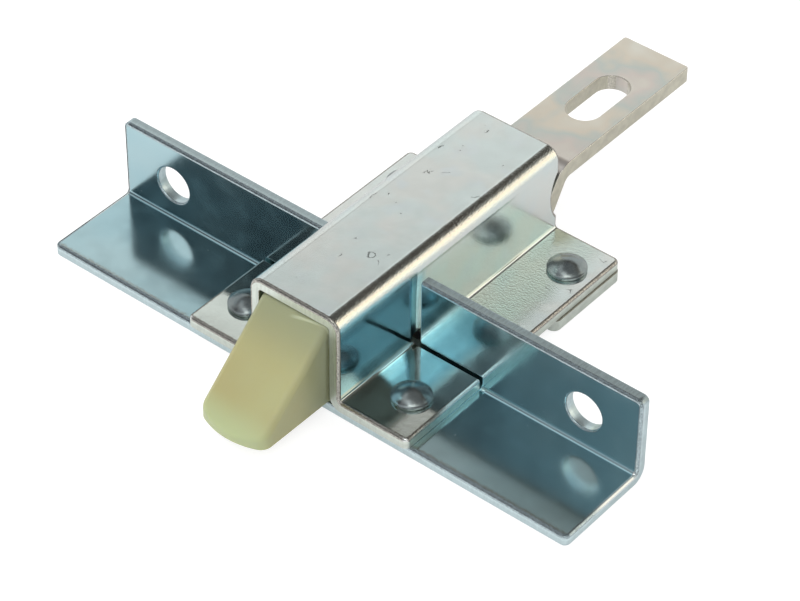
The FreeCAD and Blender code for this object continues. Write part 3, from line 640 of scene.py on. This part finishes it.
RIVET_RADIUS, RIVET_RIM, RIVET_CROWN, RIVET_SHANK = 5.05 * MM, 0.8 * MM, 2.2 * MM, 2.4 * MM
RIVET_SHOULDER, RIVET_TUCK = 0.16 * MM, RIVET_RIM * 0.62
RIVET_STEPS, DOME_STEPS = 56, 14
SPRING_RADIUS, WIRE, CLOSED_PITCH, OPEN_TURNS = 6.4 * MM, 1.2 * MM, 1.3 * MM, 7.0
SPRING_STEPS, WIRE_SIDES = 400, 14


def node_made(name, sizes, build):
    """Runs a geometry node tree. Sizes are its named inputs, and build returns the finished geometry."""
    kinds = {float: "NodeSocketFloat", int: "NodeSocketInt", bpy.types.Object: "NodeSocketObject",
             bpy.types.Material: "NodeSocketMaterial"}
    group = bpy.data.node_groups.new(name, "GeometryNodeTree")
    group.interface.new_socket("Geometry", in_out="OUTPUT", socket_type="NodeSocketGeometry")
    sockets = {label: group.interface.new_socket(label, in_out="INPUT", socket_type=kinds[type(value)])
               for label, value in sizes.items()}
    nodes = Nodes(group)
    entry = nodes.node("NodeGroupInput")
    made = build(nodes, {label: entry.other(label) for label in sizes})
    nodes.node("NodeGroupOutput", {}, {"Geometry": made})
    piece = bpy.data.objects.new(name, bpy.data.meshes.new(name))
    bpy.context.scene.collection.objects.link(piece)
    maker = piece.modifiers.new("maker", "NODES")
    maker.node_group = group
    for label, value in sizes.items():
        maker[sockets[label].identifier] = value
    return baked(piece)


def rivet_outline():
    """Radius and height of the points down the side of the head: dome, rounded shoulder, tucked rim."""
    ball = (RIVET_RADIUS * RIVET_RADIUS + RIVET_CROWN * RIVET_CROWN) / (2 * RIVET_CROWN)
    middle = RIVET_RIM + RIVET_CROWN - ball
    outline = []
    for i in range(1, DOME_STEPS + 1):
        r = (RIVET_RADIUS - RIVET_SHOULDER) * i / DOME_STEPS
        outline.append((r, middle + math.sqrt(ball * ball - r * r)))
    lip = outline[-1][1]
    for turn in (30, 60, 90):
        sine, cosine = math.sin(math.radians(turn)), math.cos(math.radians(turn))
        outline.append((RIVET_RADIUS - RIVET_SHOULDER * (1 - sine), lip - RIVET_SHOULDER * (1 - cosine)))
    for turn in range(0, 91, 18):
        sine, cosine = math.sin(math.radians(turn)), math.cos(math.radians(turn))
        outline.append((RIVET_RADIUS - RIVET_TUCK * (1 - cosine), RIVET_TUCK * (1 - sine)))
    return outline


def rivet_blank(length):
    """One rivet, turned from its outline, with the foot of its head at z 0 and its shank below."""
    outline = rivet_outline() + [(RIVET_SHANK, 0.0), (RIVET_SHANK, -length)]
    round_it = [math.tau * k / RIVET_STEPS for k in range(RIVET_STEPS)]
    bm = bmesh.new()
    rings = [[bm.verts.new((r * math.cos(turn), r * math.sin(turn), z)) for turn in round_it]
             for r, z in outline]
    peak = bm.verts.new((0, 0, RIVET_RIM + RIVET_CROWN))
    tail = bm.verts.new((0, 0, -length))
    for k in range(RIVET_STEPS):
        n = (k + 1) % RIVET_STEPS
        bm.faces.new((peak, rings[0][k], rings[0][n]))
        bm.faces.new((tail, rings[-1][n], rings[-1][k]))
        for upper, lower in zip(rings, rings[1:]):
            bm.faces.new((upper[k], lower[k], lower[n], upper[n]))
    bmesh.ops.recalc_face_normals(bm, faces=bm.faces)
    mesh = bpy.data.meshes.new("rivet_blank")
    bm.to_mesh(mesh)
    bm.free()
    mesh.shade_smooth()
    mesh.set_sharp_from_angle(angle=math.radians(50))
    return bpy.data.objects.new("rivet_blank", mesh)


def rivets_placed(nodes, size):
    """The blank at the four corners of a rectangle, each turned differently."""
    corners = nodes.node("GeometryNodeMeshGrid", {}, {
        "Size X": size["Across"], "Size Y": size["Along"], "Vertices X": 2, "Vertices Y": 2})
    place = nodes.node("ShaderNodeCombineXYZ", {}, {"Y": size["Middle"], "Z": size["Seat"]})
    corners = nodes.node("GeometryNodeTransform", {}, {"Geometry": corners, "Translation": place})
    blank = nodes.node("GeometryNodeObjectInfo", {}, {"Object": size["Blank"]}, out="Geometry")
    spin = nodes.node("FunctionNodeRandomValue", {"data_type": "FLOAT"},
                      {3: math.tau, "Seed": size["Seed"]}, out=1)
    turn = nodes.node("ShaderNodeCombineXYZ", {}, {"Z": spin})
    copies = nodes.node("GeometryNodeInstanceOnPoints", {}, {
        "Points": corners, "Instance": blank, "Rotation": turn})
    real = nodes.node("GeometryNodeRealizeInstances", {}, {0: copies})
    return nodes.node("GeometryNodeSetMaterial", {}, {"Geometry": real, "Material": size["Finish"]})


def spring_wound(nodes, size):
    """Round wire on a helix: a closed turn at each end and open turns between."""
    turns = size["Open turns"] + 2
    path = nodes.node("GeometryNodeCurvePrimitiveLine", {}, {"End": (1, 0, 0)})
    path = nodes.node("GeometryNodeResampleCurve", {}, {"Curve": path, "Count": size["Steps"]})
    done = nodes.node("GeometryNodeSplineParameter", out="Factor") * turns
    opened = (done - 1.0).most(0.0).least(size["Open turns"])
    pitch = (size["Length"] - size["Wire"] - size["Closed pitch"] * 2) / size["Open turns"]
    along = size["Start"] + size["Wire"] / 2 + size["Closed pitch"] * (done - opened) + pitch * opened
    turn = done * math.tau
    sideways, upwards = size["Radius"] * turn.cosine(), size["Radius"] * turn.sine()
    place = nodes.node("ShaderNodeCombineXYZ", {}, {
        "X": sideways, "Y": along, "Z": size["Axis"] + upwards})
    path = nodes.node("GeometryNodeSetPosition", {}, {"Geometry": path, "Position": place})
    section = nodes.node("GeometryNodeCurvePrimitiveCircle", {}, {
        "Resolution": WIRE_SIDES, "Radius": size["Wire"] / 2})
    wire = nodes.node("GeometryNodeCurveToMesh", {}, {
        "Curve": path, "Profile Curve": section, "Fill Caps": True})
    return nodes.node("GeometryNodeSetMaterial", {}, {"Geometry": wire, "Material": size["Finish"]})


# Studio

AZIMUTH, ELEVATION, ROLL = math.radians(38.991), math.radians(41.363), math.radians(0.645)
AIM = Vector((9.26, 26.37, 16.66)) * MM
DISTANCE = 779.2 * MM
SENSOR, LENS = 36, 148.47


def set_camera():
    camera = bpy.data.objects.new("camera", bpy.data.cameras.new("camera"))
    camera.data.sensor_width = SENSOR
    camera.data.lens = LENS
    camera.data.clip_start, camera.data.clip_end = 0.05, 10
    turn = (Matrix.Rotation(AZIMUTH, 4, "Z") @ Matrix.Rotation(math.pi / 2 - ELEVATION, 4, "X")
            @ Matrix.Rotation(ROLL, 4, "Z"))
    camera.matrix_world = Matrix.Translation(AIM) @ turn @ Matrix.Translation((0, 0, DISTANCE))
    bpy.context.scene.collection.objects.link(camera)
    bpy.context.scene.camera = camera


# Light of the room round the object, by direction in degrees: turn from and to, elevation from and to,
# softness of the borders, light. A later area covers an earlier one. The turn is clockwise from above,
# from straight in front of the object or from straight behind it.
ROOM_LIGHT = (0.24, 0.245, 0.25)
FRONT_AREAS = (
    (15, 100, 54, 72, 7, (0.72, 0.74, 0.76)),
    (-34, 16, 57, 73, 5, (1.5, 1.5, 1.5)),
    (-100, 75, -20, 22, 6, (0.40, 0.42, 0.44)),
    (-90, -20, 20, 50, 6, (1.20, 1.22, 1.22)),
    (-50, -27, 29, 36.5, 2, (0.030, 0.050, 0.055)),
    (-50, -27, 37.5, 41.0, 1.5, (0.11, 0.20, 0.23)),
    (-64, -14, 42.0, 60, 2, (0.34, 0.43, 0.46)),
    (-64, -14, 48.5, 60, 2.5, (3.4, 3.35, 3.2)),
    (5, 72, 22, 54, 5, (0.42, 0.41, 0.42)),
    (35.5, 49, 22, 52, 2.5, (0.035, 0.037, 0.04)),
)
BACK_AREAS = (
    (-55, 50, 38, 56, 5, (0.100, 0.084, 0.068)),
    (-110, -50, -30, 44.0, 3, (0.70, 0.72, 0.73)),
    (-52, 0, -30, 43.3, 1.3, (0.91, 0.92, 0.91)),
    (-4, 41.5, -30, 42.5, 0.8, (0.92, 0.91, 0.88)),
    (24, 41.5, 30, 42.8, 1.0, (1.15, 1.15, 1.10)),
    (41, 68, -30, 38.0, 1.6, (1.00, 0.95, 0.86)),
    (44, 66, 4, 33.0, 3.5, (1.35, 1.24, 1.06)),
)
# Dark of the camera: turn from in front, elevation, radius, light
CAMERA_DARK = (-40.2, 40.6, 2.6, (0.04, 0.04, 0.045))


def seen_directly(nodes):
    """1 for what the camera sees, also through a clear piece."""
    path = nodes.node("ShaderNodeLightPath", out="Is Camera Ray")
    return (path + path.other("Is Transmission Ray")).least(1.0)


def set_room():
    world = bpy.data.worlds.new("room")
    bpy.context.scene.world = world
    world.use_nodes = True
    n = Nodes(world.node_tree)
    towards = n.vector("NORMALIZE", n.node("ShaderNodeTexCoord", out="Generated"))
    x = n.split(towards)
    y, z = x.other("Y"), x.other("Z")
    degrees = math.degrees(1)
    elevation = n.node("ShaderNodeMath", {"operation": "ARCSINE"}, {0: z}) * degrees
    from_behind = n.node("ShaderNodeMath", {"operation": "ARCTAN2"}, {0: x, 1: y}) * degrees
    from_front = n.node("ShaderNodeMath", {"operation": "ARCTAN2"}, {0: -x, 1: -y}) * degrees
    light = n.node("ShaderNodeRGB")
    light.socket.default_value = (*ROOM_LIGHT, 1)
    for turn, areas in ((from_front, FRONT_AREAS), (from_behind, BACK_AREAS)):
        for left, right, low, high, soft, colour in areas:
            sideways = n.between(turn, left - soft, left + soft, right - soft, right + soft)
            upwards = n.between(elevation, low - soft, low + soft, high - soft, high + soft)
            light = n.blend(sideways * upwards, light, colour)
    turn, rise, radius, colour = CAMERA_DARK
    across = (from_front - turn) * math.cos(math.radians(rise))
    away = (across * across + (elevation - rise) * (elevation - rise)) ** 0.5
    light = n.blend(n.step(away, radius + 1.0, radius - 1.0), light, colour)
    shown = n.node("ShaderNodeBackground", {}, {"Color": n.blend(seen_directly(n), light, (1, 1, 1))})
    n.node("ShaderNodeOutputWorld", {}, {"Surface": shown})


def set_floor():
    """Pale floor that keeps a faint shadow. Its places are in metres."""
    mesh = bpy.data.meshes.new("floor")
    half, level = 3.0, cad_low.z - 0.05 * MM
    corners = [(x * half, y * half, level) for x, y in ((-1, -1), (1, -1), (1, 1), (-1, 1))]
    mesh.from_pydata(corners, [], [(0, 1, 2, 3)])
    floor = bpy.data.objects.new("floor", mesh)
    bpy.context.scene.collection.objects.link(floor)
    material = bpy.data.materials.new("white_table")
    material.use_nodes = True
    n = Nodes(material.node_tree)
    direct = seen_directly(n)
    reflected = n.node("ShaderNodeLightPath", out="Is Glossy Ray")
    lit = n.node("ShaderNodeBsdfDiffuse", {}, {"Color": (0.8, 0.8, 0.8, 1)})
    faint = n.node("ShaderNodeBsdfDiffuse", {}, {"Color": (0.34, 0.34, 0.34, 1)})
    # The glow stops under the housing, which paints a shadow there, and mirrored floor is darker towards
    # the back
    across = n.split(n.node("ShaderNodeTexCoord", out="Object"))
    along = across.other("Y")
    under = n.step(abs(across), 0.028, 0.020) * n.between(along, 0.005, 0.015, 0.066, 0.078)
    behind = n.step(along, -0.06, 0.06)
    shine = (1.0 - under) * (0.80 - reflected * (0.12 + 0.32 * behind))
    glow = n.node("ShaderNodeEmission", {}, {"Color": n.blend(shine, (0, 0, 0), (1, 1, 1))})
    paper = n.node("ShaderNodeAddShader", {}, {0: faint, 1: glow})
    shown = n.node("ShaderNodeMixShader", {}, {0: (direct + reflected).least(1.0), 1: lit, 2: paper})
    n.node("ShaderNodeOutputMaterial", {}, {"Surface": shown})
    mesh.materials.append(material)


def set_lamp(name, place, watts):
    """Square soft lamp that lights the object and isn't mirrored in it."""
    lamp = bpy.data.lights.new(name, "AREA")
    lamp.shape = "SQUARE"
    lamp.size = 0.8
    lamp.energy = watts
    holder = bpy.data.objects.new(name, lamp)
    holder.location = place
    holder.rotation_euler = (AIM - Vector(place)).to_track_quat("-Z", "Y").to_euler()
    holder.visible_glossy = False
    bpy.context.scene.collection.objects.link(holder)


# The latch

blue = blue_zinc()
housing_finish = clear_zinc("clear_zinc", ((0.76, 0.845, 0.83), (0.80, 0.83, 0.80), (0.76, 0.83, 0.85)),
                            HOUSING_MARKS, HOUSING_CURL)
plate_finish = clear_zinc("plate_zinc", ((0.77, 0.85, 0.82), (0.80, 0.83, 0.79), (0.75, 0.83, 0.82)))
blue_edge = sheared_edge("blue_zinc_edge", (0.70, 0.84, 0.87), painted_shade_above=24.8)
clear_edge = sheared_edge("clear_zinc_edge", (0.78, 0.84, 0.77))
bar_edge = sheared_edge("yellow_zinc_edge", (0.72, 0.69, 0.57))
blue_roll = rolled_edge("blue_zinc_roll", (0.58, 0.70, 0.74), 0.55)
clear_roll = rolled_edge("clear_zinc_roll", (0.60, 0.58, 0.53), 0.45)
bar_roll = rolled_edge("yellow_zinc_roll", (0.88, 0.84, 0.74), 0.7)

along_x, along_y = Vector((1, 0, 0)), Vector((0, 1, 0))

angle = sheet_copy("mounting_angle", "angle_sheet", angle_depth, angle_sheet_normal, along_x,
                   roll=0.50 * MM, burr=0.20 * MM, finishes=(blue, blue_edge, blue_roll))
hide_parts("mounting_angle")
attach(angle, "carrier")

housing = sheet_copy("housing", "housing_sheet", housing_depth, housing_sheet_normal, along_y,
                     roll=0.80 * MM, burr=0.20 * MM, finishes=(housing_finish, clear_edge, clear_roll),
                     held=beside_upright, trim=nearer_upright)
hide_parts("housing")
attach(housing, "carrier")

plate = sheet_copy("base_plate", "base_plate_sheet", plate_depth, plate_sheet_normal, along_x,
                   roll=0.50 * MM, burr=0.20 * MM, finishes=(plate_finish, clear_edge, clear_roll),
                   clamp=True)
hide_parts("base_plate")
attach(plate, "carrier")

bar = sheet_copy("pull_bar", "bar_strap", no_depth, no_sheet_normal, along_x,
                 roll=0.35 * MM, burr=0.18 * MM, finishes=(yellow_zinc(), bar_edge, bar_roll), clamp=True)
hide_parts("pull_bar")
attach(bar, "bolt")

nylon = moulded_nylon()
bolt = sheet_copy("latch_bolt", "nylon_bolt", no_depth, no_sheet_normal, along_x,
                  roll=0.20 * MM, burr=0.20 * MM, finishes=(nylon, nylon), clamp=True)
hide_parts("latch_bolt")
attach(bolt, "bolt")

rivet_low, rivet_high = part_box("front_right_rivet")
rear_low, rear_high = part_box("rear_right_rivet")
rivet_x = (rivet_low.x + rivet_high.x) / 2
front_y = (rivet_low.y + rivet_high.y) / 2
rear_y = (rear_low.y + rear_high.y) / 2
blank = rivet_blank(FOOT_TOP - rivet_low.z)
rivets = node_made("rivets", {
    "Across": rivet_x * 2, "Along": rear_y - front_y, "Middle": (rear_y + front_y) / 2, "Seat": FOOT_TOP,
    "Seed": 4, "Blank": blank, "Finish": rivet_steel()}, rivets_placed)
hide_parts("front_left_rivet", "front_right_rivet", "rear_left_rivet", "rear_right_rivet")
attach(rivets, "carrier")

spring_axis = (SPRING_LOW.z + SPRING_HIGH.z) / 2
spring = node_made("wire_spring", {
    "Start": SPRING_LOW.y, "Length": SPRING_HIGH.y - SPRING_LOW.y, "Axis": spring_axis,
    "Radius": SPRING_RADIUS, "Wire": WIRE, "Open turns": OPEN_TURNS, "Closed pitch": CLOSED_PITCH,
    "Steps": SPRING_STEPS, "Finish": spring_wire()}, spring_wound)
spring.data.shade_smooth()
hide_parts("return_spring")
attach(spring, "carrier")
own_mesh(spring)

set_room()
set_floor()
set_lamp("soft_lamp_left", (-0.9, -0.2, 1.3), 12)
set_lamp("soft_lamp_front", (0.1, -1.3, 0.9), 9)
set_lamp("soft_lamp_back", (0.5, 1.0, 1.2), 4)
set_camera()
bpy.context.scene.view_settings.view_transform = "Standard"
